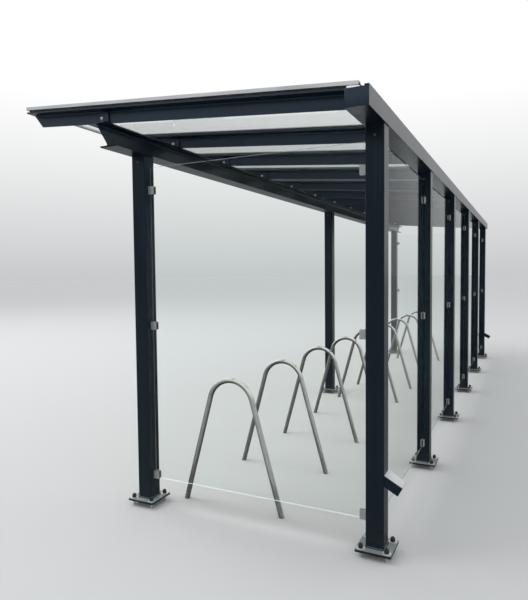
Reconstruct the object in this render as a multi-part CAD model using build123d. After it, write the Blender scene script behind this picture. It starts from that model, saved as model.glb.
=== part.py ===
from build123d import *
import math
import os

# Open glass bicycle shelter: a row of square posts along a rear glass wall, a row of
# front posts under an I-beam, T-section rafters that fall to a gutter on the rear posts,
# a glass roof, a glass pane at each end, and bent-tube parking hoops inside.
# Millimetres. +X runs along the length, +Y to the rear wall, +Z up from the ground.

# Layout
BAYS = 5                    # rear wall bays
BAY = 1610                  # rear post centre to the next
DEPTH = 1698                # rear post line to front post line
FRONT_POSTS = 3             # under the front beam, the outer two on the end posts' lines
ROOF_OVERHANG = 400         # roof end beyond the centre of the end posts
FRONT_REACH = 2389          # rear post line to the rafters' front ends

# Posts and base plates
POST = 110                  # square tube, outside
POST_WALL = 5
POST_RADIUS = 6             # outside corner of the tube
POST_LENGTH = 2474          # base plate to the gutter or beam
PLATE = 215                 # square base plate
PLATE_THICK = 14
PLATE_CORNER = 5
FLOOR_GAP = 36              # air under the base plate

# Anchors in each base plate
ANCHOR_PITCH = 155
STUD_R = 8
STUD_CLEARANCE = 1          # between stud and plate hole
LEVEL_NUT_R = 13.5          # hexagon, across corners
LEVEL_NUT_H = 13
WASHER_R = 26
WASHER_H = 3
CAP_R = 14.5
CAP_H = 29
CAP_BEVEL = 6

# Front beam, a rolled wide-flange section
BEAM_H = 133
BEAM_W = 140
BEAM_FLANGE = 8.5
BEAM_WEB = 5.5
BEAM_ROOT = 12
BEAM_OVERHANG = 456         # top flange end beyond the centre of the end posts
BEAM_CUT = 111              # how far the slanted end runs back at the bottom flange

# Gutter
GUTTER_OUTSET = 7           # outer wall beyond the posts' outer face
GUTTER_W = 131
GUTTER_OUTER_H = 108
GUTTER_INNER_H = 92
GUTTER_WALL = 4
GUTTER_LIP = 26             # return at the top of the outer wall
OUTLET_R = 35               # drain into each end post

# Rain spouts on the outer face of the two end posts
SPOUT_DEEP = 60
SPOUT_WALL = 4
SPOUT_REACH = 106           # along its middle
SPOUT_FALL = 29             # degrees
SPOUT_Z = 464               # middle of its mouth on the post

# Rafters, T-sections with the flange on top
ROOF_PANES = 11
RAFTER_W = 140
RAFTER_DEPTH = 90
RAFTER_FLANGE = 10
RAFTER_WEB = 8
RAFTER_ROOT = 8
RAFTER_NOSE = 4             # flange that stands past the top of the slanted web
RAFTER_CUT = 82             # how far the web's slanted end runs back at the bottom
CLEAT_GAP = 22              # rafter above the front beam
CLEAT_W = 72
CLEAT_THICK = 10
CLEAT_HEADROOM = 8          # cleat top below the rafter flange

# Roof glass and its bars, heights above the rafter flange
SEAL_W = 16                 # bedding strip, two to a rafter
SEAL_H = 14
END_SEAL_INSET = 22         # outermost strips in from the roof's ends
ROOF_GLASS = 12
PANE_GAP = 12
TOP_SEAL = 4
BAR_W = 60
BAR_H = 5
TRIM_W = 40                 # edge trim, on top of the glass
TRIM_SKIRT = 22             # edge trim, down the side
TRIM_THICK = 4
TRIM_ROUND = 3
GLASS_OVER_GUTTER = 74      # roof glass past the gutter's inner face
BAR_END_GAP = 1             # bar end to edge trim

# Wall glass and its clamps
WALL_GLASS = 10
GLASS_BOTTOM = 200
GLASS_HEADROOM = 84         # pane top below the posts' tops
GLASS_SIDE_GAP = 12         # pane edge to post
CLAMP_L = 46                # out from the post
CLAMP_H = 56
CLAMP_T = 34
CLAMP_PLAY = 0.3            # glass to jaw
CLAMP_LEDGE = 6             # bottom jaw past the pane's bottom edge
CLAMP_ROUND = 2.5
CLAMP_MID_RISE = 62         # middle clamps above the mean of the other two
CLAMP_TOP_DROP = 162        # top clamps' middle below the pane's top

# Parking hoops
HOOPS = 9
HOOP_PITCH = 900
HOOP_START = 180            # first hoop inside the near end's post line
HOOP_SETBACK = 600          # front post line to the hoops' middle
HOOP_HALF = 390             # middle to each foot
HOOP_HEIGHT = 940
HOOP_R = 175                # bend, at the middle of the tube
HOOP_TUBE_R = 19
HOOP_WALL = 2.6

# Levels
PLATE_TOP = FLOOR_GAP + PLATE_THICK
POST_TOP = PLATE_TOP + POST_LENGTH
BEAM_TOP = POST_TOP + BEAM_H
INNER_TOP = POST_TOP + GUTTER_INNER_H
GLASS_TOP = POST_TOP - GLASS_HEADROOM

# Places along X
POST_ROW = BAYS * BAY
ROOF_END = POST_ROW / 2 + ROOF_OVERHANG
RAFTER_PITCH = (2 * ROOF_END - RAFTER_W) / ROOF_PANES
rear_x = [POST_ROW / 2 - BAY * n for n in range(BAYS + 1)]
front_x = [POST_ROW / 2 - POST_ROW * n / (FRONT_POSTS - 1) for n in range(FRONT_POSTS)]
rafter_x = [ROOF_END - RAFTER_W / 2 - RAFTER_PITCH * n for n in range(ROOF_PANES + 1)]
hoop_x = [POST_ROW / 2 - HOOP_START - HOOP_PITCH * n for n in range(HOOPS)]

# Places across, from the rear post line; the roof falls to the rear
GUTTER_OUT = POST / 2 + GUTTER_OUTSET
GUTTER_IN = GUTTER_OUT - GUTTER_W
WEB_DEPTH = RAFTER_DEPTH - RAFTER_FLANGE
RUN = DEPTH + GUTTER_IN
FALL = math.atan2(BEAM_TOP + CLEAT_GAP + WEB_DEPTH - INNER_TOP, RUN)
SLOPE_FRONT = (FRONT_REACH + GUTTER_IN) / math.cos(FALL)

# Heights above the rafter flange
GLASS_UNDER = SEAL_H
GLASS_OVER = SEAL_H + ROOF_GLASS
BAR_UNDER = GLASS_OVER + TOP_SEAL
BAR_OVER = BAR_UNDER + BAR_H

# The origin is on the ground in the middle of the whole shelter
spout_tip = POST / 2 + SPOUT_REACH * math.cos(math.radians(SPOUT_FALL))
spout_tip += SPOUT_DEEP / 2 * math.sin(math.radians(SPOUT_FALL))
flange_top = INNER_TOP + RAFTER_FLANGE / math.cos(FALL)
trim_tip = FRONT_REACH + TRIM_THICK * math.cos(FALL) - (BAR_OVER - TRIM_SKIRT) * math.sin(FALL)
REAR = (trim_tip - spout_tip) / 2
FRONT = REAR - DEPTH

# Roof plane: x along the length, y down the slope to the rear, z away from the flange tops
ROOF = Plane(
    origin=(0, REAR + GUTTER_IN, flange_top),
    x_dir=(1, 0, 0),
    z_dir=(0, math.sin(FALL), math.cos(FALL)),
)
# Seen from the end: x to the rear, y up
END_VIEW = Plane(origin=(0, 0, 0), x_dir=(0, 1, 0), z_dir=(1, 0, 0))


def block(x, y, z):
    """A box between two limits on each axis."""
    size = [high - low for low, high in (x, y, z)]
    middle = [(high + low) / 2 for low, high in (x, y, z)]
    return Pos(*middle) * Box(*size)


def slab(x, up_slope, height):
    """A box in the roof's own axes; up_slope is measured from the gutter's inner face."""
    return block(x, (-up_slope[1], -up_slope[0]), height)


def on_roof(x, up_slope, height):
    return ROOF * slab(x, up_slope, height)


def square_tube(size, wall, radius, length):
    outer = RectangleRounded(size, size, radius)
    inner = RectangleRounded(size - 2 * wall, size - 2 * wall, max(radius - wall, 1))
    return extrude(outer - inner, amount=length)


def anchor_places():
    return GridLocations(ANCHOR_PITCH, ANCHOR_PITCH, 2, 2)


def post():
    """A tube welded on a base plate with four holes."""
    plate = RectangleRounded(PLATE, PLATE, PLATE_CORNER)
    holes = anchor_places() * Circle(STUD_R + STUD_CLEARANCE)
    plate = extrude(plate - holes, amount=PLATE_THICK)
    tube = square_tube(POST, POST_WALL, POST_RADIUS, POST_LENGTH)
    return Pos(0, 0, FLOOR_GAP) * (plate + Pos(0, 0, PLATE_THICK) * tube)


def spout_axes(x):
    """The spout's own plane: x along the shelter, z out and down."""
    fall = math.radians(SPOUT_FALL)
    return Plane(
        origin=(x, REAR + POST / 2, SPOUT_Z),
        x_dir=(1, 0, 0),
        z_dir=(0, math.cos(fall), -math.sin(fall)),
    )


def spout_bar(x, inset):
    """A slanting bar of the spout's size, less the inset all round."""
    width = POST - 2 * POST_RADIUS - 2 * inset
    section = Rectangle(width, SPOUT_DEEP - 2 * inset)
    return spout_axes(x) * extrude(section, amount=SPOUT_REACH, both=True)


def spout(x):
    bar = spout_bar(x, 0) - spout_bar(x, SPOUT_WALL)
    behind = Plane(origin=(0, REAR + POST / 2, 0), x_dir=(1, 0, 0), z_dir=(0, 1, 0))
    return split(bar, bisect_by=behind, keep=Keep.TOP)


def rear_post(x):
    body = Pos(x, REAR, 0) * post()
    if x in (rear_x[0], rear_x[-1]):
        outer_wall = block(
            (x - POST / 2, x + POST / 2),
            (REAR + POST / 2 - POST_WALL, REAR + POST / 2),
            (PLATE_TOP, POST_TOP),
        )
        body -= spout_bar(x, SPOUT_WALL) & outer_wall
    return body


def anchor_stud():
    stud = extrude(Circle(STUD_R), amount=PLATE_TOP + WASHER_H)
    nut = extrude(RegularPolygon(LEVEL_NUT_R, 6), amount=LEVEL_NUT_H)
    washer = extrude(Circle(WASHER_R), amount=WASHER_H)
    stud += Pos(0, 0, FLOOR_GAP - LEVEL_NUT_H) * nut
    return stud + Pos(0, 0, PLATE_TOP) * washer


def anchor_cap():
    cap = extrude(Circle(CAP_R), amount=CAP_H)
    cap = chamfer(cap.edges().group_by(Axis.Z)[-1], CAP_BEVEL)
    return Pos(0, 0, PLATE_TOP + WASHER_H) * cap


def at_all_anchors(piece):
    feet = [(x, REAR) for x in rear_x] + [(x, FRONT) for x in front_x]
    return [Pos(x, y, 0) * place * piece for x, y in feet for place in anchor_places()]


def front_beam():
    """A wide-flange beam whose two ends are cut back on a slant below the top flange."""
    section = Rectangle(BEAM_W, BEAM_H)
    pocket = Rectangle((BEAM_W - BEAM_WEB) / 2, BEAM_H - 2 * BEAM_FLANGE)
    pocket = Pos((BEAM_W + BEAM_WEB) / 4, 0) * pocket
    pocket = fillet(pocket.vertices().group_by(Axis.X)[0], BEAM_ROOT)
    section -= pocket
    section -= mirror(pocket, about=Plane.YZ)
    end = POST_ROW / 2 + BEAM_OVERHANG
    beam = extrude(END_VIEW * Pos(FRONT, POST_TOP + BEAM_H / 2) * section, amount=end, both=True)
    under = BEAM_TOP - BEAM_FLANGE
    for side in (1, -1):
        corner = Polyline(
            (side * end, under),
            (side * (end - BEAM_CUT), POST_TOP),
            (side * end, POST_TOP),
            close=True,
        )
        wedge = extrude(Plane.XZ * make_face(corner), amount=BEAM_W, both=True)
        beam -= Pos(0, FRONT, 0) * wedge
    return beam


def gutter():
    """An open trough built from its flats, with end plates and a drain over each end post."""
    run = (-ROOF_END, ROOF_END)
    inner = (REAR + GUTTER_IN, REAR + GUTTER_IN + GUTTER_WALL)
    outer = (REAR + GUTTER_OUT - GUTTER_WALL, REAR + GUTTER_OUT)
    floor_top = POST_TOP + GUTTER_WALL
    floor = block(run, (inner[0], outer[1]), (POST_TOP, floor_top))
    for x in (rear_x[0], rear_x[-1]):
        drain = extrude(Circle(OUTLET_R), amount=2 * GUTTER_WALL, both=True)
        floor -= Pos(x, REAR, POST_TOP) * drain
    lip_top = POST_TOP + GUTTER_OUTER_H
    profile = Polyline(
        (GUTTER_OUT, floor_top),
        (GUTTER_OUT, lip_top),
        (GUTTER_OUT - GUTTER_LIP, lip_top),
        (GUTTER_OUT - GUTTER_LIP, lip_top - GUTTER_WALL),
        (GUTTER_OUT - GUTTER_WALL, lip_top - GUTTER_WALL),
        (GUTTER_OUT - GUTTER_WALL, floor_top),
        close=True,
    )
    outer_wall = extrude(END_VIEW * Pos(REAR, 0) * make_face(profile), amount=ROOF_END, both=True)
    flats = [floor, outer_wall, block(run, inner, (floor_top, INNER_TOP))]
    end_top = lip_top - 2 * GUTTER_WALL
    for plate in ((-ROOF_END, GUTTER_WALL - ROOF_END), (ROOF_END - GUTTER_WALL, ROOF_END)):
        flats.append(block(plate, (inner[1], outer[0]), (floor_top, end_top)))
    return flats


def rafter(x):
    """A T-section from the gutter's inner face to its slanted nose."""
    flange = Pos(0, -RAFTER_FLANGE / 2) * Rectangle(RAFTER_W, RAFTER_FLANGE)
    web = Pos(0, -RAFTER_DEPTH / 2) * Rectangle(RAFTER_WEB, RAFTER_DEPTH)
    section = flange + web
    root = section.vertices().filter_by_position(Axis.Y, -RAFTER_FLANGE - 0.1, -RAFTER_FLANGE + 0.1)
    root = root.filter_by_position(Axis.X, -RAFTER_WEB, RAFTER_WEB)
    section = fillet(root, RAFTER_ROOT)
    # the section stands across the slope, and the bar runs both ways from the gutter's face
    across = Plane(origin=ROOF.origin, x_dir=(1, 0, 0), z_dir=-ROOF.y_dir)
    bar = across * extrude(section, amount=SLOPE_FRONT)
    bar += across * extrude(section, amount=-RAFTER_DEPTH)
    wall = Plane(origin=ROOF.origin, x_dir=(1, 0, 0), z_dir=(0, -1, 0))
    bar = split(bar, bisect_by=wall, keep=Keep.TOP)
    nose = Polyline(
        (-SLOPE_FRONT + RAFTER_NOSE, -RAFTER_FLANGE),
        (-SLOPE_FRONT + RAFTER_NOSE + RAFTER_CUT, -RAFTER_DEPTH - 1),
        (-SLOPE_FRONT - 1, -RAFTER_DEPTH - 1),
        (-SLOPE_FRONT - 1, -RAFTER_FLANGE),
        close=True,
    )
    side_on = Plane(origin=ROOF.origin, x_dir=ROOF.y_dir, z_dir=(1, 0, 0))
    bar -= side_on * extrude(make_face(nose), amount=RAFTER_W, both=True)
    return Pos(x, 0, 0) * bar


def rafter_cleat(x):
    """An upright plate on the front beam beside the rafter's web."""
    near = x + RAFTER_WEB / 2
    y = (FRONT - BEAM_W / 2, FRONT - BEAM_W / 2 + CLEAT_W)
    under = flange_top + (REAR + GUTTER_IN - y[1]) * math.tan(FALL) - RAFTER_FLANGE / math.cos(FALL)
    return block((near, near + CLEAT_THICK), y, (BEAM_TOP, under - CLEAT_HEADROOM))


def pane_limits():
    """Left and right edges of the roof panes, with a gap on each inner rafter."""
    edges = []
    for n in range(ROOF_PANES):
        right = rafter_x[n] - PANE_GAP / 2 if n else ROOF_END
        left = rafter_x[n + 1] + PANE_GAP / 2 if n < ROOF_PANES - 1 else -ROOF_END
        edges.append((left, right))
    return edges


def roof_glass():
    run = (-GLASS_OVER_GUTTER, SLOPE_FRONT)
    return [on_roof(x, run, (GLASS_UNDER, GLASS_OVER)) for x in pane_limits()]


def roof_seals():
    """Bedding strips on each rafter, and thinner ones under the bars and trim."""
    seals = []
    outer = RAFTER_W / 2 - SEAL_W / 2 - END_SEAL_INSET
    for n, x in enumerate(rafter_x):
        inner = SEAL_W / 2 + PANE_GAP / 2
        places = [x - inner, x + inner]
        if n == 0:
            places = [x + outer, x - inner]
        if n == ROOF_PANES:
            places = [x + inner, x - outer]
        for middle in places:
            strip = (middle - SEAL_W / 2, middle + SEAL_W / 2)
            seals.append(on_roof(strip, (0, SLOPE_FRONT), (0, GLASS_UNDER)))
            seals.append(on_roof(strip, (0, SLOPE_FRONT - TRIM_W), (GLASS_OVER, BAR_UNDER)))
    return seals


def glazing_bars():
    """Flat bars over the gaps between panes."""
    run = (-GLASS_OVER_GUTTER, SLOPE_FRONT + TRIM_THICK - TRIM_W - BAR_END_GAP)
    bars = []
    for x in rafter_x[1:-1]:
        bars.append(on_roof((x - BAR_W / 2, x + BAR_W / 2), run, (BAR_UNDER, BAR_OVER)))
    return bars


def edge_trim():
    """An angle along both ends and the front of the roof glass."""
    end = ROOF_END + TRIM_THICK
    front = SLOPE_FRONT + TRIM_THICK
    rear = -GLASS_OVER_GUTTER
    trim = slab((-end, end), (rear, front), (BAR_OVER - TRIM_SKIRT, BAR_OVER))
    rim = trim.edges().group_by(Axis.Z)[-1].sort_by(Axis.Y)[:-1]
    trim = fillet(rim, TRIM_ROUND)
    hollow = slab((-ROOF_END, ROOF_END), (rear - 1, SLOPE_FRONT), (0, BAR_UNDER))
    window = slab((TRIM_W - end, end - TRIM_W), (rear - 1, front - TRIM_W), (0, BAR_OVER + 1))
    return ROOF * (trim - hollow - window)


def glass_clamp(ledge):
    """A slotted block, out from a post's face along +X; a ledge closes the slot's bottom end."""
    body = Pos(CLAMP_L / 2, 0, 0) * Box(CLAMP_L, CLAMP_T, CLAMP_H)
    corners = body.edges().filter_by(Axis.Z).group_by(Axis.X)[-1]
    body = fillet(corners, CLAMP_ROUND)
    slot_bottom = CLAMP_LEDGE - CLAMP_H / 2 if ledge else -CLAMP_H
    half = WALL_GLASS / 2 + CLAMP_PLAY
    slot = block((GLASS_SIDE_GAP - CLAMP_PLAY, CLAMP_L + 1), (-half, half), (slot_bottom, CLAMP_H))
    return body - slot


def clamp_levels():
    """Centre height of each clamp and whether it has a ledge."""
    low = GLASS_BOTTOM - CLAMP_LEDGE + CLAMP_H / 2
    high = GLASS_TOP - CLAMP_TOP_DROP
    middle = (low + high) / 2 + CLAMP_MID_RISE
    return [(low, True), (middle, False), (high, False)]


def clamps_between(start, finish):
    """Six clamps that face each other across one wall bay, given its two post faces."""
    away = Vector(*finish) - Vector(*start)
    turn = math.degrees(math.atan2(away.Y, away.X))
    clamps = []
    for z, ledge in clamp_levels():
        piece = Pos(0, 0, z) * glass_clamp(ledge)
        clamps.append(Pos(*start) * Rot(0, 0, turn) * piece)
        clamps.append(Pos(*finish) * Rot(0, 0, turn + 180) * piece)
    return clamps


def rear_glass(n):
    right = rear_x[n] - POST / 2 - GLASS_SIDE_GAP
    left = rear_x[n + 1] + POST / 2 + GLASS_SIDE_GAP
    y = (REAR - WALL_GLASS / 2, REAR + WALL_GLASS / 2)
    return block((left, right), y, (GLASS_BOTTOM, GLASS_TOP))


def end_glass(x):
    front = FRONT + POST / 2 + GLASS_SIDE_GAP
    rear = REAR - POST / 2 - GLASS_SIDE_GAP
    thick = (x - WALL_GLASS / 2, x + WALL_GLASS / 2)
    return block(thick, (front, rear), (GLASS_BOTTOM, GLASS_TOP))


def bike_hoop(x):
    """A tube bent to a narrow arch with splayed legs that stand in the ground."""
    centre_z = HOOP_HEIGHT - HOOP_TUBE_R - HOOP_R
    distance = math.hypot(HOOP_HALF, centre_z)
    angle = math.atan2(-centre_z, HOOP_HALF) + math.acos(HOOP_R / distance)
    side = HOOP_R * math.cos(angle)
    level = centre_z + HOOP_R * math.sin(angle)
    lean = (HOOP_HALF - side) / level
    foot = HOOP_HALF + HOOP_TUBE_R * lean
    path = Polyline((-foot, -HOOP_TUBE_R), (-side, level))
    path += ThreePointArc((-side, level), (0, centre_z + HOOP_R), (side, level))
    path += Line((side, level), (foot, -HOOP_TUBE_R))
    plane = Plane(origin=(x, FRONT + HOOP_SETBACK, 0), x_dir=(0, 1, 0), z_dir=(1, 0, 0))
    path = plane * path
    start = Plane(origin=path @ 0, z_dir=path % 0)
    ring = start * (Circle(HOOP_TUBE_R) - Circle(HOOP_TUBE_R - HOOP_WALL))
    tube = sweep(ring, path=path)
    return split(tube, bisect_by=Plane.XY, keep=Keep.TOP)


def save(name, shape):
    if isinstance(shape, list):
        shape = Compound(children=shape)
    export_step(shape, f"parts/{name}.step")


os.makedirs("parts", exist_ok=True)

for n, x in enumerate(rear_x):
    save(f"rear_post_{n + 1}", rear_post(x))
for n, x in enumerate(front_x):
    save(f"front_post_{n + 1}", Pos(x, FRONT, 0) * post())
save("anchor_studs", at_all_anchors(anchor_stud()))
save("anchor_caps", at_all_anchors(anchor_cap()))

save("front_beam", front_beam())
save("gutter", gutter())
save("rain_spouts", [spout(rear_x[0]), spout(rear_x[-1])])

for n, x in enumerate(rafter_x):
    save(f"rafter_{n + 1}", rafter(x))
save("rafter_cleats", [rafter_cleat(x) for x in rafter_x])

save("roof_glass", roof_glass())
save("roof_seals", roof_seals())
save("glazing_bars", glazing_bars())
save("roof_edge_trim", edge_trim())

save("rear_glass", [rear_glass(n) for n in range(BAYS)])
rear_clamps = []
for n in range(BAYS):
    start = (rear_x[n + 1] + POST / 2, REAR)
    rear_clamps += clamps_between(start, (rear_x[n] - POST / 2, REAR))
save("rear_clamps", rear_clamps)
save("end_glass_near", end_glass(rear_x[0]))
save("end_glass_far", end_glass(rear_x[-1]))
end_clamps = []
for x in (rear_x[0], rear_x[-1]):
    end_clamps += clamps_between((x, FRONT + POST / 2), (x, REAR - POST / 2))
save("end_clamps", end_clamps)

for n, x in enumerate(hoop_x):
    save(f"bike_hoop_{n + 1}", bike_hoop(x))
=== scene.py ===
# %% [markdown]
# # Bicycle shelter in painted steel and clear glass
# The frame of the shelter comes packed from the CAD model: posts, beam, rafters, gutter, panes and
# hoops are already at their true size and place. Blender's work is what the eye reads as real: the
# fasteners, the liners beside the glass, the finishes, the light and the camera. This first cell
# loads the frame.

import math

import bmesh
import bpy
from mathutils import Matrix, Vector


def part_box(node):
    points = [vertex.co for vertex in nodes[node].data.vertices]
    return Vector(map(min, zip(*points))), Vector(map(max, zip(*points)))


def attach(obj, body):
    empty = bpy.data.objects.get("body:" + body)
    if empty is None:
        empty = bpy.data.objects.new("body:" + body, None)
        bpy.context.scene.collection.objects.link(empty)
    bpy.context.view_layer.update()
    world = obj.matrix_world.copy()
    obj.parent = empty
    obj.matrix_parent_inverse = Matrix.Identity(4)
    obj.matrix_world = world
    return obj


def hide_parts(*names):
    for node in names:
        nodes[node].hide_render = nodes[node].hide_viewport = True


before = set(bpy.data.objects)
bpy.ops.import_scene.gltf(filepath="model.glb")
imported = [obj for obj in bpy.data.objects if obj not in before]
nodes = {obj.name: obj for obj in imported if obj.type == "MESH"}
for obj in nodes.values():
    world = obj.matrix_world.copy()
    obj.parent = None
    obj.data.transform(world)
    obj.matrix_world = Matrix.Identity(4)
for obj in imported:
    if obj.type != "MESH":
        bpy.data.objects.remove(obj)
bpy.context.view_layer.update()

# %% [markdown]
# ## Measures from the frame
# Every fastener sits on a post, a rafter or a clamp. Their places could be typed in again, but they
# are read from the CAD nodes, so that they can't drift from the frame. A post's base plate is
# square, so the middle of the node's box is the middle of the post. The tube on it is 110 mm
# square, which nothing else in the box tells.

# %% Find the posts and the rafters


def middle(node):
    low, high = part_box(node)
    return (low + high) / 2


posts = [f"rear_post_{n}" for n in range(1, 7)] + [f"front_post_{n}" for n in range(1, 4)]
rafters = [f"rafter_{n}" for n in range(1, 13)]
half_post = 0.055
rear_y = middle("rear_post_2").y
front_y = middle("front_post_2").y
print("rear line", round(rear_y, 4), "front line", round(front_y, 4))

# %% [markdown]
# ## Helpers
# Small parts are shaped as by hand: add a primitive, open it in edit mode, pick faces by where they
# are, then inset, extrude and bevel. Short helpers cover the steps that repeat: picking faces,
# extruding them, rounding the edges with a modifier that is applied, and setting copies out in
# their places. The copies are joined, because a bag of bolts is one piece to handle. Each copy has
# its own mesh with its place in it, so the joined piece sits at the origin, as the CAD nodes do.

# %% Helpers for small parts


def deselect():
    bpy.ops.object.select_all(action="DESELECT")


def pick_faces(test):
    """In edit mode, selects only the faces that pass the test."""
    bpy.ops.mesh.select_mode(type="FACE")
    bpy.ops.mesh.select_all(action="DESELECT")
    mesh = bmesh.from_edit_mesh(bpy.context.object.data)
    for face in mesh.faces:
        face.select_set(test(face))
    bmesh.update_edit_mesh(bpy.context.object.data)


def upward(face):
    return face.normal.z > 0.9


def extrude(x, y, z):
    """In edit mode, draws the selected faces out by this much."""
    bpy.ops.mesh.extrude_region_move(TRANSFORM_OT_translate={"value": (x, y, z)})


def round_edges(piece, width, segments=2):
    """Rounds the sharp edges of the active piece and shades the rest smooth."""
    sharp = math.radians(35)
    bevel = piece.modifiers.new("rounded edges", "BEVEL")
    bevel.width = width
    bevel.segments = segments
    bevel.limit_method = "ANGLE"
    bevel.angle_limit = sharp
    bpy.ops.object.modifier_apply(modifier=bevel.name)
    bpy.ops.object.shade_smooth_by_angle(angle=sharp)


def set_out(pattern, name, places):
    """Copies the pattern to each place, joins the copies and takes the pattern away."""
    copies = []
    for place in places:
        copy = bpy.data.objects.new(name, pattern.data.copy())
        copy.data.transform(place)
        bpy.context.collection.objects.link(copy)
        copies.append(copy)
    bpy.data.objects.remove(pattern)
    deselect()
    for copy in copies:
        copy.select_set(True)
    bpy.context.view_layer.objects.active = copies[0]
    bpy.ops.object.join()
    piece = bpy.context.object
    piece.name = name
    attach(piece, "root")
    print(name, len(places), "copies,", len(piece.data.polygons), "faces")
    return piece


# %% [markdown]
# ## Anchor caps
# Each base plate is held by four threaded anchors, and a black plastic cap with a hexagonal skirt
# and a domed top closes each nut. A turned dome would miss the flats of the skirt, so a six-sided
# cylinder is the start. Its top face is inset and extruded twice, a little smaller each time, which
# makes the shoulder and the dome. Nuts stop at any angle, so each cap is turned further than the
# one before. These caps take the place of the plain ones of the CAD node.

# %% Model the anchor cap
skirt_radius, skirt_height = 0.0155, 0.0120
shoulder_inset, shoulder_rise = 0.0012, 0.0100
dome_inset, dome_rise, dome_top = 0.0026, 0.0062, 0.75

deselect()
bpy.ops.mesh.primitive_cylinder_add(
    vertices=6, radius=skirt_radius, depth=skirt_height, location=(0, 0, skirt_height / 2)
)
cap = bpy.context.object
bpy.ops.object.transform_apply(location=True, rotation=True, scale=True)
bpy.ops.object.mode_set(mode="EDIT")
pick_faces(upward)
bpy.ops.mesh.inset(thickness=shoulder_inset)
extrude(0, 0, shoulder_rise)
bpy.ops.mesh.inset(thickness=dome_inset)
extrude(0, 0, dome_rise)
bpy.ops.transform.resize(value=(dome_top, dome_top, 1))
bpy.ops.object.mode_set(mode="OBJECT")
round_edges(cap, 0.0013, segments=3)
print("cap", len(cap.data.polygons), "faces")

# %% Set out the anchor caps
washer_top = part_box("anchor_caps")[0].z
anchor_offset = 0.0775
further_turn = 0.35

cap_places = []
for post in posts:
    centre = middle(post)
    for sx in (-1, 1):
        for sy in (-1, 1):
            x, y = centre.x + sx * anchor_offset, centre.y + sy * anchor_offset
            turn = Matrix.Rotation(further_turn * len(cap_places), 4, "Z")
            cap_places.append(Matrix.Translation((x, y, washer_top)) @ turn)
anchor_nut_caps = set_out(cap, "anchor_nut_caps", cap_places)
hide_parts("anchor_caps")

# %% [markdown]
# ## Weld beads
# The tube is welded all round to its base plate, and the paint goes over the bead. A strip led
# round the tube would need its ends closed, so a flat square with cut corners is extruded to the
# bead's height and drawn in to the tube instead, and a bevel makes the bead full. It is closed and
# the tube runs through it, so only the bead shows.

# %% Model the weld beads
washer_thickness = 0.003
plate_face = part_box("anchor_studs")[1].z - washer_thickness
bead, corner_cut, tube_clearance = 0.007, 0.012, 0.0005

deselect()
bpy.ops.mesh.primitive_plane_add(size=2 * half_post + 2 * bead, location=(0, 0, 0))
weld = bpy.context.object
bpy.ops.object.mode_set(mode="EDIT")
bpy.ops.mesh.select_all(action="SELECT")
bpy.ops.mesh.bevel(offset=corner_cut, segments=4, affect="VERTICES")
bpy.ops.mesh.select_all(action="SELECT")
extrude(0, 0, bead)
shrink = (half_post + tube_clearance) / (half_post + bead)
bpy.ops.transform.resize(value=(shrink, shrink, 1))
bpy.ops.mesh.select_all(action="SELECT")
bpy.ops.mesh.normals_make_consistent(inside=False)
bpy.ops.object.mode_set(mode="OBJECT")
round_edges(weld, 0.0022, segments=3)

weld_places = [Matrix.Translation((middle(p).x, middle(p).y, plate_face)) for p in posts]
post_welds = set_out(weld, "post_welds", weld_places)

# %% [markdown]
# ## Bolts
# Two kinds of bolt show. A low round-headed one is near the top of each post, and a stouter one
# holds each rafter to its cleat, with a nut on the web's other side. Washer and head could be two
# pieces, but then each needs a face that nobody sees. So a short cylinder is the washer, and its
# top face is inset and extruded for the head, and inset and sunk again where there is a socket.
# That is one closed shape along +Z, and each copy is turned to stand along the length.

# %% Helper for bolts


def bolt(sides, washer, washer_height, head, head_height, socket=0.0):
    """A washer with a head on it, along +Z from the origin, from its radii and heights."""
    deselect()
    bpy.ops.mesh.primitive_cylinder_add(
        vertices=sides, radius=washer, depth=washer_height, location=(0, 0, washer_height / 2)
    )
    made = bpy.context.object
    bpy.ops.object.transform_apply(location=True, rotation=True, scale=True)
    bpy.ops.object.mode_set(mode="EDIT")
    pick_faces(upward)
    bpy.ops.mesh.inset(thickness=washer - head)
    extrude(0, 0, head_height)
    if socket:
        socket_depth = head_height * 0.6
        bpy.ops.mesh.inset(thickness=head - socket)
        extrude(0, 0, -socket_depth)
    bpy.ops.object.mode_set(mode="OBJECT")
    return made


along_x = Matrix.Rotation(math.radians(90), 4, "Y")
against_x = Matrix.Rotation(math.radians(-90), 4, "Y")

# %% Model the post bolts
round_bolt = bolt(24, 0.0085, 0.0012, head=0.0070, head_height=0.0044, socket=0.0032)
round_edges(round_bolt, 0.0009)
rear_level, front_level = 2.460, 2.476

bolt_places = []
for post in posts:
    centre = middle(post)
    level = rear_level if post.startswith("rear") else front_level
    bolt_places.append(Matrix.Translation((centre.x + half_post, centre.y, level)) @ along_x)
post_bolts = set_out(round_bolt, "post_bolts", bolt_places)

# %% Model the cleat bolts
stout_bolt = bolt(12, 0.0115, 0.0020, head=0.0088, head_height=0.0064)
round_edges(stout_bolt, 0.0009)
half_web, cleat = 0.004, 0.010
behind_front, below_top = 0.017, 0.036
cleat_low, cleat_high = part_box("rafter_cleats")
cleat_y, cleat_z = cleat_low.y + behind_front, cleat_high.z - below_top

cleat_places = []
for rafter in rafters:
    x = middle(rafter).x
    cleat_places.append(Matrix.Translation((x + half_web + cleat, cleat_y, cleat_z)) @ along_x)
    cleat_places.append(Matrix.Translation((x - half_web, cleat_y, cleat_z)) @ against_x)
cleat_bolts = set_out(stout_bolt, "cleat_bolts", cleat_places)

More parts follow.
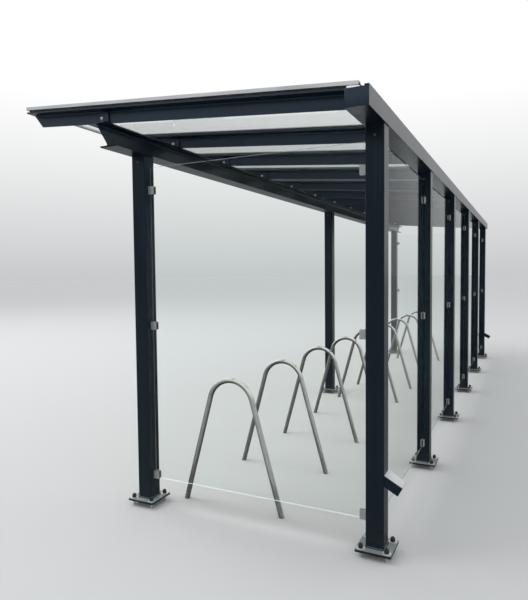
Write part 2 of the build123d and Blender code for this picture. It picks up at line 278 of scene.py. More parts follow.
# %% [markdown]
# ## Clamp screws and liners
# Each glass clamp has a countersunk socket screw in both jaws, and a black plastic liner whose lip
# shows between jaw and glass. The clamps of a wall are one CAD node, so single clamps can't be read
# from its box. But a clamp reaches 46 mm out from a post, with its slot on the line of the glass,
# so both details follow from the clamp's foot on the post, its direction and its level. The levels
# are counted from the pane's bottom and top edges, and the middle one is a little above half-way.

# %% Find the clamps
above_bottom, below_top, above_half = 0.022, 0.162, 0.062
pane_low, pane_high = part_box("rear_glass")
bottom_level, top_level = pane_low.z + above_bottom, pane_high.z - below_top
levels = [bottom_level, (bottom_level + top_level) / 2 + above_half, top_level]

clamp_feet = []
rear_posts = [middle(f"rear_post_{n}") for n in range(1, 7)]
for near, far in zip(rear_posts, rear_posts[1:]):
    clamp_feet.append((Vector((near.x - half_post, rear_y, 0)), Vector((-1, 0, 0))))
    clamp_feet.append((Vector((far.x + half_post, rear_y, 0)), Vector((1, 0, 0))))
for end in (middle("front_post_1"), middle("front_post_3")):
    clamp_feet.append((Vector((end.x, front_y + half_post, 0)), Vector((0, 1, 0))))
    clamp_feet.append((Vector((end.x, rear_y - half_post, 0)), Vector((0, -1, 0))))


def clamp_axes(foot, out, level):
    """A place whose +X runs out along the glass and whose +Z is up."""
    turn = Matrix.Rotation(math.atan2(out.y, out.x), 4, "Z")
    return Matrix.Translation(foot + Vector((0, 0, level))) @ turn


clamps = [clamp_axes(foot, out, level) for foot, out in clamp_feet for level in levels]
print(len(clamps), "clamps")

# %% [markdown]
# ### Clamp screws
# A countersunk head is nearly flush with the jaw. Cutting its seat into every clamp would change
# the CAD shape, so a very low head with a socket stands on the jaw's face, and only the edge of the
# socket casts a shadow, as on a real one.

# %% Model the clamp screws
screw = bolt(20, 0.0068, 0.0007, head=0.0062, head_height=0.0006, socket=0.0036)
round_edges(screw, 0.0004, segments=1)
from_post, jaw_face = 0.029, 0.017
jaws = [
    Matrix.Translation((from_post, jaw_face, 0)) @ Matrix.Rotation(math.radians(-90), 4, "X"),
    Matrix.Translation((from_post, -jaw_face, 0)) @ Matrix.Rotation(math.radians(90), 4, "X"),
]
clamp_screws = set_out(screw, "clamp_screws", [clamp @ jaw for clamp in clamps for jaw in jaws])

# %% [markdown]
# ### Clamp liners
# The liner's lip is a thin strip at the free end of the clamp, on either side of the glass. A cube
# is drawn out to the strip's size, and its outer face is extruded and narrowed, which gives the lip
# its wedge. Both sides could be modelled, but a half turn about the clamp's own axis brings the
# same mesh to the other side.

# %% Model the clamp liners
lip_place, lip_size = (0.0466, 0.0078, 0), (0.0016, 0.0052, 0.054)
lip_rise, lip_taper = 0.0012, (1, 0.5, 0.98)

deselect()
bpy.ops.mesh.primitive_cube_add(size=1, location=lip_place)
liner = bpy.context.object
liner.dimensions = lip_size
bpy.ops.object.transform_apply(location=True, rotation=True, scale=True)
bpy.ops.object.mode_set(mode="EDIT")
pick_faces(lambda face: face.normal.x > 0.9)
extrude(lip_rise, 0, 0)
bpy.ops.transform.resize(value=lip_taper)
bpy.ops.object.mode_set(mode="OBJECT")
round_edges(liner, 0.0003, segments=1)

as_it_is = Matrix.Identity(4)
half_turn = Matrix.Rotation(math.radians(180), 4, "X")
liner_places = [clamp @ side for clamp in clamps for side in (as_it_is, half_turn)]
clamp_liners = set_out(liner, "clamp_liners", liner_places)

# %% [markdown]
# ## Bright sheets on the rain spouts
# A thin bright aluminium sheet is laid on the slanted top of each spout and shows as a pale patch
# on the dark post; that patch is in part a painted reflection of the bright light above. A flat
# sheet alone would have knife edges, so it gets folded rims. A cube is drawn out to the sheet's
# size and cut near its long sides, and the strips outside the cuts are extruded down the spout's
# flanks. The sheet is then laid on the slope of the spout's upper face.

# %% Model the spout lid
lid_width, lid_length, lid_thickness, lid_rim = 0.1000, 0.1200, 0.0012, 0.0030
rim_line = lid_width / 2 - 0.0009

deselect()
bpy.ops.mesh.primitive_cube_add(size=1, location=(0, 0, lid_thickness / 2))
lid = bpy.context.object
lid.dimensions = (lid_width, lid_length, lid_thickness)
bpy.ops.object.transform_apply(location=True, rotation=True, scale=True)
bpy.ops.object.mode_set(mode="EDIT")
for side in (-1, 1):
    bpy.ops.mesh.select_all(action="SELECT")
    bpy.ops.mesh.bisect(plane_co=(side * rim_line, 0, 0), plane_no=(1, 0, 0))
pick_faces(lambda face: face.normal.z < -0.9 and abs(face.calc_center_median().x) > rim_line)
extrude(0, 0, -lid_rim)
bpy.ops.object.mode_set(mode="OBJECT")
round_edges(lid, 0.0004)
print("lid", len(lid.data.polygons), "faces")

# %% Lay the lids on the spouts
spout_fall = math.radians(29)
off_post, down_slope, lift = 0.0006, 0.0008, 0.0001
spout_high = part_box("rain_spouts")[1]

lid_places = []
for post in ("rear_post_1", "rear_post_6"):
    start = Vector((middle(post).x, rear_y + half_post + off_post, spout_high.z))
    laid = Matrix.Translation(start) @ Matrix.Rotation(-spout_fall, 4, "X")
    lid_places.append(laid @ Matrix.Translation((0, lid_length / 2 + down_slope, lift)))
# The sheets stand in part for a painted reflection on the spouts' tops.
spout_lids_and_sheen = set_out(lid, "spout_lids_and_sheen", lid_places)

# %% [markdown]
# ## Screws in the glazing bars
# The flat bars over the joints of the roof panes are screwed down to the rafters. The screws could
# be bumps in the metal, but from above their heads catch the light, so they are real pan heads.
# They are set out along each bar in the roof's slope, which is read from the upper face of its
# glass, and sunk a hair, so that none floats.

# %% Read the roof's slope
glass_mesh = nodes["roof_glass"].data
roof_normal = max((face.normal for face in glass_mesh.polygons), key=lambda way: way.z).copy()
roof_fall = math.atan2(roof_normal.y, roof_normal.z)
print("roof falls", round(math.degrees(roof_fall), 2), "degrees")

# %% Model the bar screws
bar_screw = bolt(12, 0.0080, 0.0010, head=0.0058, head_height=0.0032, socket=0.0026)
round_edges(bar_screw, 0.0006, segments=1)
bar_low, bar_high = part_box("glazing_bars")
slope = Matrix.Rotation(-roof_fall, 4, "X")
screw_count, end_share, sunk = 7, 0.35, 0.0001

bar_places = []
for rafter in rafters[1:-1]:
    for n in range(screw_count):
        share = (n + end_share) / (screw_count - 1 + 2 * end_share)
        y = bar_low.y + share * (bar_high.y - bar_low.y)
        z = bar_high.z - (y - bar_low.y) * math.tan(roof_fall) - sunk
        bar_places.append(Matrix.Translation((middle(rafter).x, y, z)) @ slope)
bar_screws = set_out(bar_screw, "bar_screws", bar_places)

# %% [markdown]
# ## Shared effects
# Four effects come back in several finishes: a fine grain, lines that a brush or an extrusion die
# leaves, streaks that rain leaves, and dust that settles near the ground. They could be wired anew
# in each material, but as node groups they are built once and each material gives its own values.
# All read Object coordinates. The pieces sit at the origin in metres, so a scale of 1000 is a grain
# of a millimetre on every one.

# %% Helpers for nodes


def new_group(name, inputs, outputs):
    group = bpy.data.node_groups.new(name, "ShaderNodeTree")
    for label, kind, value in inputs:
        socket = group.interface.new_socket(label, in_out="INPUT", socket_type=kind)
        if value is not None:
            socket.default_value = value
    for label, kind in outputs:
        group.interface.new_socket(label, in_out="OUTPUT", socket_type=kind)
    return group, group.nodes.new("NodeGroupInput"), group.nodes.new("NodeGroupOutput")


def feed(tree, socket, value):
    """Sets a number or a colour on the socket, or links another node's output to it."""
    if isinstance(value, (int, float)):
        socket.default_value = value
    elif isinstance(value, tuple):
        socket.default_value = (*value, 1.0)
    else:
        tree.links.new(value, socket)


def split(tree, vector):
    """The outputs X, Y and Z of a vector."""
    node = tree.nodes.new("ShaderNodeSeparateXYZ")
    tree.links.new(vector, node.inputs["Vector"])
    return node.outputs


def stretched(tree, vector, stretch):
    node = tree.nodes.new("ShaderNodeVectorMath")
    node.operation = "MULTIPLY"
    tree.links.new(vector, node.inputs[0])
    tree.links.new(stretch, node.inputs[1])
    return node.outputs["Vector"]


def noise(tree, vector, scale, detail=2.0, rough=0.5):
    node = tree.nodes.new("ShaderNodeTexNoise")
    node.inputs["Detail"].default_value = detail
    node.inputs["Roughness"].default_value = rough
    tree.links.new(vector, node.inputs["Vector"])
    feed(tree, node.inputs["Scale"], scale)
    return node.outputs["Fac"]


def spread(tree, value, low, high, to_low=0.0, to_high=1.0):
    """Turns the range from low to high into another one, and holds what lies past its ends."""
    node = tree.nodes.new("ShaderNodeMapRange")
    node.clamp = True
    tree.links.new(value, node.inputs["Value"])
    feed(tree, node.inputs["From Min"], low)
    feed(tree, node.inputs["From Max"], high)
    feed(tree, node.inputs["To Min"], to_low)
    feed(tree, node.inputs["To Max"], to_high)
    return node.outputs["Result"]


def arithmetic(tree, kind, first, second=0.0):
    node = tree.nodes.new("ShaderNodeMath")
    node.operation = kind
    feed(tree, node.inputs[0], first)
    feed(tree, node.inputs[1], second)
    return node.outputs["Value"]


def blend_colour(tree, share, first, second):
    """The first colour where the share is 0 and the second where it is 1."""
    node = tree.nodes.new("ShaderNodeMix")
    node.data_type = "RGBA"
    tree.links.new(share, node.inputs["Factor"])
    feed(tree, node.inputs[6], first)
    feed(tree, node.inputs[7], second)
    return node.outputs[2]


vector, number = "NodeSocketVector", "NodeSocketFloat"

# %% [markdown]
# ### Fine grain
# Paint, rubber and moulded plastic have a fine grain, and their tone drifts from place to place. A
# single noise texture gives only one size of mark, so the group puts out two: a fine one for the
# bump, and a coarse one with more contrast for patches of tone.

# %% Fine grain
grain_group, taken, given = new_group(
    "fine grain",
    [("Vector", vector, None), ("Scale", number, 900.0), ("Patch Scale", number, 3.0)],
    [("Grain", number), ("Patches", number)],
)
fine = noise(grain_group, taken.outputs["Vector"], taken.outputs["Scale"], detail=1.0)
patches = noise(grain_group, taken.outputs["Vector"], taken.outputs["Patch Scale"], detail=3.0)
grain_group.links.new(fine, given.inputs["Grain"])
grain_group.links.new(spread(grain_group, patches, 0.3, 0.7), given.inputs["Patches"])
print("node group", grain_group.name)

# %% [markdown]
# ### Brushed lines
# A brush or a die leaves lines that all run one way. A wave texture would repeat them evenly, so
# the place is multiplied by a stretch before a noise reads it. Along the axis with the small number
# the noise changes slowly, and its marks are drawn out into lines.

# %% Brushed lines
lines_group, taken, given = new_group(
    "brushed lines",
    [("Vector", vector, None), ("Stretch", vector, (1200, 1200, 12))],
    [("Lines", number), ("Soft Lines", number)],
)
drawn = stretched(lines_group, taken.outputs["Vector"], taken.outputs["Stretch"])
sharp_lines = noise(lines_group, drawn, 1.0)
soft_lines = noise(lines_group, drawn, 0.12)
lines_group.links.new(sharp_lines, given.inputs["Lines"])
lines_group.links.new(spread(lines_group, soft_lines, 0.3, 0.7), given.inputs["Soft Lines"])
print("node group", lines_group.name)

# %% [markdown]
# ### Rain streaks
# Rain runs straight down and dries in some places only. A stretched noise alone would cover every
# face alike, so its sharpest runs are kept, and a coarse cloud lets them through in some parts.

# %% Rain streaks
streak_group, taken, given = new_group(
    "rain streaks",
    [("Vector", vector, None), ("Stretch", vector, (34, 34, 1.1))],
    [("Streaks", number)],
)
drawn = stretched(streak_group, taken.outputs["Vector"], taken.outputs["Stretch"])
runs = noise(streak_group, drawn, 1.0, detail=3.0, rough=0.6)
sharp_runs = spread(streak_group, runs, 0.5, 0.72)
cloud = noise(streak_group, taken.outputs["Vector"], 1.7)
some_parts = spread(streak_group, cloud, 0.4, 0.65)
streaks = arithmetic(streak_group, "MULTIPLY", sharp_runs, some_parts)
streak_group.links.new(streaks, given.inputs["Streaks"])
print("node group", streak_group.name)

# %% [markdown]
# ### Ground dust
# Drops that splash up leave dust, thickest at the ground and gone within a third of a metre. A
# plain gradient would look sprayed on, so it is squared, which lets it fade softly, and broken up
# by specks.

# %% Ground dust
dust_group, taken, given = new_group(
    "ground dust",
    [("Vector", vector, None), ("Height", number, 0.35), ("Strength", number, 0.4)],
    [("Dust", number)],
)
height = split(dust_group, taken.outputs["Vector"])["Z"]
low_down = spread(dust_group, height, 0.0, taken.outputs["Height"], 1.0, 0.0)
squared = arithmetic(dust_group, "MULTIPLY", low_down, low_down)
specks = noise(dust_group, taken.outputs["Vector"], 60.0, detail=4.0, rough=0.7)
settled = arithmetic(dust_group, "MULTIPLY", squared, spread(dust_group, specks, 0.35, 0.7))
dust = arithmetic(dust_group, "MULTIPLY", settled, taken.outputs["Strength"])
dust_group.links.new(dust, given.inputs["Dust"])
print("node group", dust_group.name)

# %% [markdown]
# ## Finishes
# Each material is one Principled shader. A value that is the same all over is set on the shader
# itself, and the groups feed what changes over the surface: its colour, roughness and bump. None of
# them needs a picture file, so they stay sharp from close by.

# %% Helpers for materials


def new_material(name, colour, metallic, roughness):
    made = bpy.data.materials.new(name)
    made.use_nodes = True
    shader = made.node_tree.nodes["Principled BSDF"]
    shader.inputs["Base Color"].default_value = (*colour, 1.0)
    shader.inputs["Metallic"].default_value = metallic
    shader.inputs["Roughness"].default_value = roughness
    place = made.node_tree.nodes.new("ShaderNodeTexCoord").outputs["Object"]
    return made, made.node_tree, shader, place


def use_group(tree, group, place, **values):
    node = tree.nodes.new("ShaderNodeGroup")
    node.node_tree = group
    tree.links.new(place, node.inputs["Vector"])
    for label, value in values.items():
        node.inputs[label.replace("_", " ")].default_value = value
    return node.outputs


def facing(tree):
    """The direction that the surface faces, in its parts X, Y and Z."""
    return split(tree, tree.nodes.new("ShaderNodeNewGeometry").outputs["Normal"])


def bump(tree, shader, height, depth, strength):
    node = tree.nodes.new("ShaderNodeBump")
    node.inputs["Distance"].default_value = depth
    node.inputs["Strength"].default_value = strength
    tree.links.new(height, node.inputs["Height"])
    tree.links.new(node.outputs["Normal"], shader.inputs["Normal"])


# %% [markdown]
# ### Anthracite paint
# The steel is powder-coated a dark blue-grey. Up close the coat has a fine orange-peel surface,
# over a metre or two its tone drifts slightly, rain leaves faint lighter runs and the feet gather
# dust. An even colour would look like plastic, so each of these is a thin layer over the one
# before. The highlights are tinted too, because a white one would wash the blue out.

# %% Anthracite paint
paint, tree, shader, place = new_material("anthracite_paint", (0.005, 0.010, 0.016), 0.0, 0.34)
shader.inputs["Specular IOR Level"].default_value = 0.36
shader.inputs["Specular Tint"].default_value = (0.55, 0.80, 1.0, 1.0)
shader.inputs["Coat Weight"].default_value = 0.06
shader.inputs["Coat Roughness"].default_value = 0.08
deep_blue, lighter_blue = (0.0042, 0.0085, 0.0138), (0.0064, 0.0120, 0.0185)
rain_grey, dust_brown = (0.0140, 0.0210, 0.0290), (0.1500, 0.1380, 0.1200)

grain = use_group(tree, grain_group, place, Scale=850.0, Patch_Scale=2.2)
runs = use_group(tree, streak_group, place, Stretch=(34, 34, 1.1))
soil = use_group(tree, dust_group, place, Height=0.34, Strength=0.26)
tone = blend_colour(tree, grain["Patches"], deep_blue, lighter_blue)
washed = blend_colour(tree, runs["Streaks"], tone, rain_grey)
dusted = blend_colour(tree, soil["Dust"], washed, dust_brown)
dull_runs = spread(tree, runs["Streaks"], 0.0, 1.0, 0.30, 0.42)
dull = arithmetic(tree, "ADD", dull_runs, soil["Dust"])
tree.links.new(dull, shader.inputs["Roughness"])
bump(tree, shader, grain["Grain"], depth=0.0002, strength=0.5)
print(paint.name)

# %% [markdown]
# ### Painted light and thick dust on the paint
# At roof level the webs and ends that look along the row are painted paler, as a painted highlight
# for the stronger light that they catch. On the flat tops of the base plates a pale grey stands for
# dust lying thickest together with a painted reflection of the bright light above. Both could be
# painted on by hand, but height and the way that a face points tell where they are, so two masks
# are made from those.

# %% Painted light and thick dust on the paint
painted_light_blue, dust_and_sheen_grey = (0.0340, 0.0450, 0.0700), (0.4200, 0.4600, 0.4650)
height, towards = split(tree, place)["Z"], facing(tree)

# Painted highlight: faces at roof level that look along the row are made paler.
roof_level = spread(tree, height, 2.52, 2.58)
along_row = spread(tree, arithmetic(tree, "ABSOLUTE", towards["X"]), 0.70, 0.90, 0.0, 0.85)
painted_light_share = arithmetic(tree, "MULTIPLY", roof_level, along_row)
with_painted_light = blend_colour(tree, painted_light_share, dusted, painted_light_blue)

# Dust and painted reflection: flat tops near the ground turn a pale grey.
near_ground = spread(tree, height, 0.10, 0.20, 1.0, 0.0)
flat_top = arithmetic(tree, "MULTIPLY", spread(tree, towards["Z"], 0.7, 0.95), near_ground)
uneven = spread(tree, grain["Patches"], 0.0, 1.0, 0.55, 0.85)
settled = arithmetic(tree, "MULTIPLY", flat_top, uneven)
dust_and_sheen_paint = blend_colour(tree, settled, with_painted_light, dust_and_sheen_grey)
tree.links.new(dust_and_sheen_paint, shader.inputs["Base Color"])
print(paint.name, "with", len(tree.nodes), "nodes")

# %% [markdown]
# ### Brushed stainless steel
# The hoops are stainless tube with a brushed finish. An anisotropic shader could give the brush its
# long glints, but it needs a direction round every bend, so the lines are drawn in tone and bump
# along the hoops' legs. The top of the arch gets a painted highlight, and its underside and the
# legs' inner flanks get painted shade, so the tone follows how far a face looks up. Locks leave
# duller patches, and the feet are dusty.

# %% Brushed stainless steel
stainless, tree, shader, place = new_material("brushed_stainless", (0.50, 0.49, 0.47), 1.0, 0.34)
painted_shade_steel, painted_shade_steel_lines = (0.085, 0.080, 0.066), (0.125, 0.118, 0.100)
steel, bright_steel = (0.80, 0.80, 0.77), (0.92, 0.92, 0.89)
dust_brown = (0.24, 0.22, 0.19)

lines = use_group(tree, lines_group, place, Stretch=(1400, 1400, 18))
grain = use_group(tree, grain_group, place, Scale=700.0, Patch_Scale=7.0)
soil = use_group(tree, dust_group, place, Height=0.30, Strength=0.30)
# Painted light: a bright tone on faces that look up, painted shade on those that look down.
looks_up = spread(tree, facing(tree)["Z"], -0.42, 0.70)
painted_shade_side = blend_colour(tree, lines["Soft Lines"], painted_shade_steel, painted_shade_steel_lines)
painted_highlight_side = blend_colour(tree, lines["Soft Lines"], steel, bright_steel)
tone = blend_colour(tree, looks_up, painted_shade_side, painted_highlight_side)
dusted = blend_colour(tree, soil["Dust"], tone, dust_brown)
tree.links.new(dusted, shader.inputs["Base Color"])
dull_patches = spread(tree, grain["Patches"], 0.0, 1.0, 0.12, 0.22)
dull = arithmetic(tree, "ADD", dull_patches, soil["Dust"])
tree.links.new(dull, shader.inputs["Roughness"])
bump(tree, shader, lines["Lines"], depth=0.00005, strength=0.5)
print(stainless.name)

# %% [markdown]
# ### Satin clamps
# The clamps are stainless blocks with a satin face that looks an even light grey from every side. A
# full metal would mirror the pale room on one face and the dark posts on the next, so this finish
# is only half metal over a grey of its own. Faint lines run level across the blocks.

# %% Satin clamps
satin, tree, shader, place = new_material("satin_stainless", (0.56, 0.56, 0.55), 0.45, 0.42)
lines = use_group(tree, lines_group, place, Stretch=(60, 60, 1800))
tone = blend_colour(tree, lines["Soft Lines"], (0.50, 0.51, 0.50), (0.62, 0.63, 0.62))
dull = spread(tree, lines["Lines"], 0.2, 0.8, 0.36, 0.50)
tree.links.new(tone, shader.inputs["Base Color"])
tree.links.new(dull, shader.inputs["Roughness"])
bump(tree, shader, lines["Lines"], depth=0.00004, strength=0.4)
print(satin.name)

# %% [markdown]
# ### Zinc plating
# The studs, nuts and washers and the bolts of the cleats are zinc-plated and bright, with the faint
# cell pattern of the plating. Noise would give it soft clouds without borders, so a Voronoi texture
# draws the cells, and each cell's own random colour gives its tone and its roughness.

# %% Zinc plating
zinc, tree, shader, place = new_material("zinc_plating", (0.82, 0.83, 0.84), 0.45, 0.36)
cells = tree.nodes.new("ShaderNodeTexVoronoi")
cells.inputs["Scale"].default_value = 260.0
tree.links.new(place, cells.inputs["Vector"])
cell_tone = tree.nodes.new("ShaderNodeSeparateColor")
tree.links.new(cells.outputs["Color"], cell_tone.inputs["Color"])
soil = use_group(tree, dust_group, place, Height=0.12, Strength=0.50)
tone = blend_colour(tree, cell_tone.outputs["Red"], (0.74, 0.75, 0.76), (0.90, 0.91, 0.92))
dusted = blend_colour(tree, soil["Dust"], tone, (0.40, 0.37, 0.33))
dull = spread(tree, cell_tone.outputs["Green"], 0.0, 1.0, 0.30, 0.46)
tree.links.new(dusted, shader.inputs["Base Color"])
tree.links.new(dull, shader.inputs["Roughness"])
print(zinc.name)

# %% [markdown]
# ### Dull zinc
# The small bolts near the tops of the posts have lost their shine. The cells of fresh plating would
# be too lively on a head this small, so fine patches of two dark greys are enough.

# %% Dull zinc
dull_zinc, tree, shader, place = new_material("dull_zinc", (0.16, 0.17, 0.18), 1.0, 0.5)
grain = use_group(tree, grain_group, place, Scale=900.0, Patch_Scale=160.0)
tone = blend_colour(tree, grain["Patches"], (0.12, 0.13, 0.14), (0.20, 0.21, 0.22))
dull = spread(tree, grain["Grain"], 0.3, 0.7, 0.42, 0.58)
tree.links.new(tone, shader.inputs["Base Color"])
tree.links.new(dull, shader.inputs["Roughness"])
print(dull_zinc.name)

# %% [markdown]
# ### Drawn aluminium
# The roof's bars and edge trim, the bars' screws and the spouts' lids are aluminium. The die that a
# bar is drawn through leaves straight lines along it. The bars run down the roof, so the lines are
# stretched along Y, and rain has dulled the metal in runs that go the same way.

# %% Drawn aluminium
aluminium, tree, shader, place = new_material("drawn_aluminium", (0.62, 0.63, 0.65), 1.0, 0.36)
lines = use_group(tree, lines_group, place, Stretch=(900, 14, 900))
runs = use_group(tree, streak_group, place, Stretch=(30, 2, 2))
tone = blend_colour(tree, lines["Soft Lines"], (0.56, 0.57, 0.59), (0.68, 0.69, 0.71))
weathered = blend_colour(tree, runs["Streaks"], tone, (0.42, 0.43, 0.44))
dull = spread(tree, lines["Lines"], 0.2, 0.8, 0.30, 0.42)
tree.links.new(weathered, shader.inputs["Base Color"])
tree.links.new(dull, shader.inputs["Roughness"])
print(aluminium.name)

# %% [markdown]
# ### Black plastic
# The anchor caps and the liners of the clamps are black plastic with a fine texture from the mould.
# Pure black would swallow their shape, so the tone is a very dark grey in two shades, and those
# near the ground have caught a little dust.

# %% Black plastic
plastic, tree, shader, place = new_material("black_cap_plastic", (0.012, 0.012, 0.013), 0.0, 0.42)
grain = use_group(tree, grain_group, place, Scale=1600.0, Patch_Scale=90.0)
soil = use_group(tree, dust_group, place, Height=0.16, Strength=0.15)
tone = blend_colour(tree, grain["Patches"], (0.010, 0.010, 0.011), (0.018, 0.018, 0.019))
dusted = blend_colour(tree, soil["Dust"], tone, (0.090, 0.088, 0.082))
tree.links.new(dusted, shader.inputs["Base Color"])
bump(tree, shader, grain["Grain"], depth=0.0001, strength=0.4)
print(plastic.name)

# %% [markdown]
# ### Grey rubber
# The roof's glass is bedded on strips of pale grey rubber. Rubber is matt and shows no pattern of
# its own, so a fine grain in tone, roughness and bump is enough to tell it from paint.

# %% Grey rubber
rubber, tree, shader, place = new_material("grey_rubber", (0.22, 0.23, 0.23), 0.0, 0.68)
grain = use_group(tree, grain_group, place, Scale=1100.0, Patch_Scale=14.0)
tone = blend_colour(tree, grain["Patches"], (0.19, 0.20, 0.20), (0.26, 0.27, 0.27))
dull = spread(tree, grain["Grain"], 0.3, 0.7, 0.58, 0.78)
tree.links.new(tone, shader.inputs["Base Color"])
tree.links.new(dull, shader.inputs["Roughness"])
bump(tree, shader, grain["Grain"], depth=0.0002, strength=0.4)
print(rubber.name)

# %% [markdown]
# ### Glass
# A pane is clear and only faintly green through its face. Its ground edges are a deeper green. The
# bottom edge of a wall pane also scatters the light that the pane gathers, so it reads as a pale
# line. Tracing that light would take far more samples, so a glow stands for it. Edges are told by
# the direction that they face. The index of refraction is set low, which keeps the panes as clear
# as in the open: in a white room a higher one would lay a white veil on every pane that is seen at
# a slant. Rain leaves faint dry streaks, which show as slightly rougher glass.

# %% Glass
edge_green, edge_glow, no_glow = (0.26, 0.40, 0.35), (0.46, 0.54, 0.50), (0.0, 0.0, 0.0)
edge_roughness, face_roughness = 0.55, 0.01


def clear_glass(name, face_axis, face_colour, streaked, ior, glow):
    """Glass for panes whose faces look along one axis."""
    made, tree, shader, place = new_material(name, face_colour, 0.0, 0.02)
    shader.inputs["Transmission Weight"].default_value = 1.0
    shader.inputs["IOR"].default_value = ior
    shader.inputs["Emission Strength"].default_value = glow
    towards = facing(tree)
    edge = spread(tree, arithmetic(tree, "ABSOLUTE", towards[face_axis]), 0.45, 0.55, 1.0, 0.0)
    colour = blend_colour(tree, edge, face_colour, edge_green)
    tree.links.new(colour, shader.inputs["Base Color"])
    level = spread(tree, arithmetic(tree, "ABSOLUTE", towards["Z"]), 0.45, 0.55)
    low_down = spread(tree, split(tree, place)["Z"], 0.9, 1.1, 1.0, 0.0)
    bottom = arithmetic(tree, "MULTIPLY", edge, arithmetic(tree, "MULTIPLY", level, low_down))
    shine = blend_colour(tree, bottom, no_glow, edge_glow)
    tree.links.new(shine, shader.inputs["Emission Color"])
    runs = use_group(tree, streak_group, place, Stretch=(26, 26, 1.4))
    dry = arithmetic(tree, "MULTIPLY", runs["Streaks"], streaked)
    ground = arithmetic(tree, "MULTIPLY", edge, edge_roughness)
    rough = arithmetic(tree, "ADD", arithmetic(tree, "ADD", ground, dry), face_roughness)
    tree.links.new(rough, shader.inputs["Roughness"])
    print(made.name)
    return made


wall_green, roof_green = (0.945, 0.98, 0.965), (0.93, 0.97, 0.96)
rear_pane = clear_glass("rear_pane", "Y", wall_green, streaked=0.008, ior=1.06, glow=0.2)
end_pane = clear_glass("end_pane", "X", wall_green, streaked=0.008, ior=1.12, glow=1.0)
roof_pane = clear_glass("roof_pane", "Z", roof_green, streaked=0.002, ior=1.22, glow=0.0)

# %% [markdown]
# ## Dress the pieces
# Each CAD node keeps its shape and gets its finish in its material slot. No node shows two
# finishes, so one slot each is enough and no faces have to be picked.

# %% Assign the finishes


def finish_with(material, *pieces):
    for piece in pieces:
        piece.data.materials.clear()
        piece.data.materials.append(material)
    print(material.name, "on", len(pieces), "pieces")


painted = posts + rafters + ["front_beam", "gutter", "rain_spouts", "rafter_cleats"]
finish_with(paint, post_welds, *[nodes[name] for name in painted])
finish_with(stainless, *[nodes[f"bike_hoop_{n}"] for n in range(1, 10)])
finish_with(satin, nodes["rear_clamps"], nodes["end_clamps"], clamp_screws)
finish_with(zinc, nodes["anchor_studs"], cleat_bolts)
finish_with(dull_zinc, post_bolts)
finish_with(aluminium, nodes["glazing_bars"], nodes["roof_edge_trim"], bar_screws, spout_lids_and_sheen)
finish_with(plastic, anchor_nut_caps, nodes["anchor_caps"], clamp_liners)
finish_with(rubber, nodes["roof_seals"])
finish_with(rear_pane, nodes["rear_glass"])
finish_with(end_pane, nodes["end_glass_near"], nodes["end_glass_far"])
finish_with(roof_pane, nodes["roof_glass"])

# %% [markdown]
# ## Floor
# A plain floor catches the shadows and shows where the shelter stands. If it were pale for every
# ray, it would throw so much light up that the dark paint looks washed out. So it is pale where the
# camera looks at it, straight or through glass, and darker for the light that it throws back and in
# what metal mirrors. It lies a hair below zero, so that no foot shares its plane.

# %% Floor


def seen_directly(tree, mirrored):
    """1 for rays from the camera, straight or through glass, and mirrored for those off metal."""
    path = tree.nodes.new("ShaderNodeLightPath").outputs
    straight = arithmetic(tree, "MAXIMUM", path["Is Camera Ray"], path["Is Transmission Ray"])
    in_metal = arithmetic(tree, "MULTIPLY", path["Is Glossy Ray"], mirrored)
    return arithmetic(tree, "MAXIMUM", straight, in_metal)


floor_size, floor_level = 600, -0.0005
seen_floor, lit_floor = (0.70, 0.70, 0.69), (0.29, 0.29, 0.285)

deselect()
bpy.ops.mesh.primitive_plane_add(size=floor_size, location=(0, 0, floor_level))
floor = bpy.context.object
floor.name = "studio_floor"
floor_paint, tree, shader, place = new_material("floor_paint", seen_floor, 0.0, 0.9)
seen = seen_directly(tree, mirrored=0.15)
tree.links.new(blend_colour(tree, seen, lit_floor, seen_floor), shader.inputs["Base Color"])
finish_with(floor_paint, floor)

# %% [markdown]
# ## Light from all round
# The light is soft and comes from all round, as on a dull day, so the world gives most of it. To
# the camera the world is a plain backdrop that rises from the floor's own tone to white, so that no
# horizon shows. For the light that it gives and what the object mirrors, it is darker low down past
# the near end and to the sides. An even world would turn the paint a flat grey. With this one,
# faces that look at the camera stay deep, and faces seen edge on mirror the bright part above.

# %% World
horizon_tone, white = (0.58, 0.595, 0.605), (1.0, 1.0, 1.0)
light_tone, shade_tone = (0.80, 0.82, 0.85), (0.20, 0.22, 0.25)

world = bpy.data.worlds.new("pale studio")
bpy.context.scene.world = world
world.use_nodes = True
tree = world.node_tree
background = tree.nodes["Background"]
direction = split(tree, tree.nodes.new("ShaderNodeTexCoord").outputs["Generated"])
risen = spread(tree, direction["Z"], 0.0, 0.30)
backdrop = blend_colour(tree, risen, horizon_tone, white)
pale = blend_colour(tree, seen_directly(tree, mirrored=1.0), light_tone, backdrop)
towards_end = spread(tree, direction["X"], -0.3, 0.5)
low_down = spread(tree, direction["Z"], 0.14, 0.30, 1.0, 0.0)
dark_part = arithmetic(tree, "MULTIPLY", towards_end, low_down)
not_seen = spread(tree, seen_directly(tree, mirrored=0.0), 0.0, 1.0, 1.0, 0.0)
shade = arithmetic(tree, "MULTIPLY", dark_part, not_seen)
tree.links.new(blend_colour(tree, shade, pale, shade_tone), background.inputs["Color"])
background.inputs["Strength"].default_value = 1.0
print("world strength", background.inputs["Strength"].default_value)

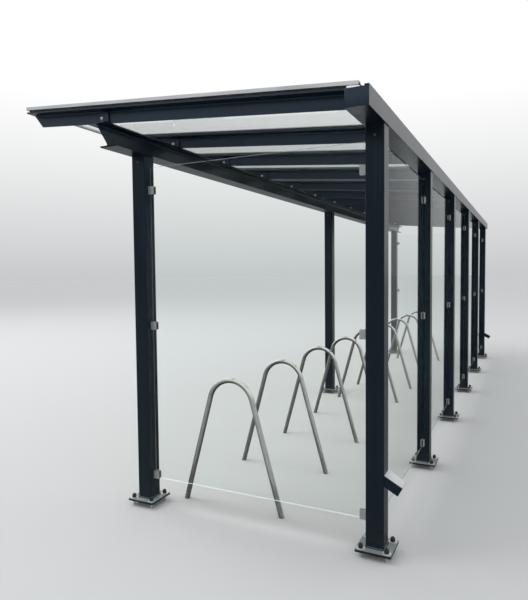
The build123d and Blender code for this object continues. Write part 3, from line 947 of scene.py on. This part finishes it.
# %% [markdown]
# ## Lamp
# The world alone would leave the shapes without a direction. A sun lamp would draw hard shadows,
# which a dull day hasn't, so one large soft lamp stands high in front. Metal doesn't mirror it and
# it isn't seen through glass, because its rectangle would show there.

# %% Soft lamp
deselect()
bpy.ops.object.light_add(type="AREA", location=(5.0, -13.0, 16.0))
lamp = bpy.context.object
lamp.name = "soft_lamp"
lamp.data.shape = "RECTANGLE"
lamp.data.size = 18.0
lamp.data.size_y = 11.0
lamp.data.energy = 1500.0
lamp.visible_glossy = False
lamp.visible_transmission = False
aim = Vector((0.0, 0.0, 1.0)) - lamp.location
lamp.rotation_euler = aim.to_track_quat("-Z", "Y").to_euler()
print("lamp", round(lamp.data.energy), "W")

# %% [markdown]
# ## Camera
# The camera stands a few metres past the near end at eye height, just outside the rear wall's line,
# and looks back along the shelter. Placed by eye it would always be a little off, so its place,
# angles and focal length were solved from the photograph. The focal length came out in pixels, and
# the sensor's width stands for the picture's longer side.

# %% Camera
past_end, outside, eye_height = 3.0850, 0.7878, 1.6767
yaw, pitch, roll = 0.45935, 0.04891, -0.00981
focal_pixels, picture_pixels, sensor = 532.65, 600.0, 36.0

eye = Vector((middle("rear_post_1").x + past_end, rear_y + outside, eye_height))
level = math.cos(pitch)
forward = Vector((-math.cos(yaw) * level, -math.sin(yaw) * level, -math.sin(pitch)))
right = forward.cross(Vector((0, 0, 1))).normalized()
up = right.cross(forward)
right, up = (
    math.cos(roll) * right + math.sin(roll) * up,
    -math.sin(roll) * right + math.cos(roll) * up,
)
camera_data = bpy.data.cameras.new("photo_camera")
camera_data.lens = focal_pixels * sensor / picture_pixels
camera_data.clip_end = 200.0
camera = bpy.data.objects.new("photo_camera", camera_data)
bpy.context.collection.objects.link(camera)
turn = Matrix((right, up, -forward)).transposed().to_4x4()
camera.matrix_world = Matrix.Translation(eye) @ turn
bpy.context.scene.camera = camera
bpy.context.scene.view_settings.view_transform = "Standard"
print("lens", round(camera_data.lens, 2), "mm")
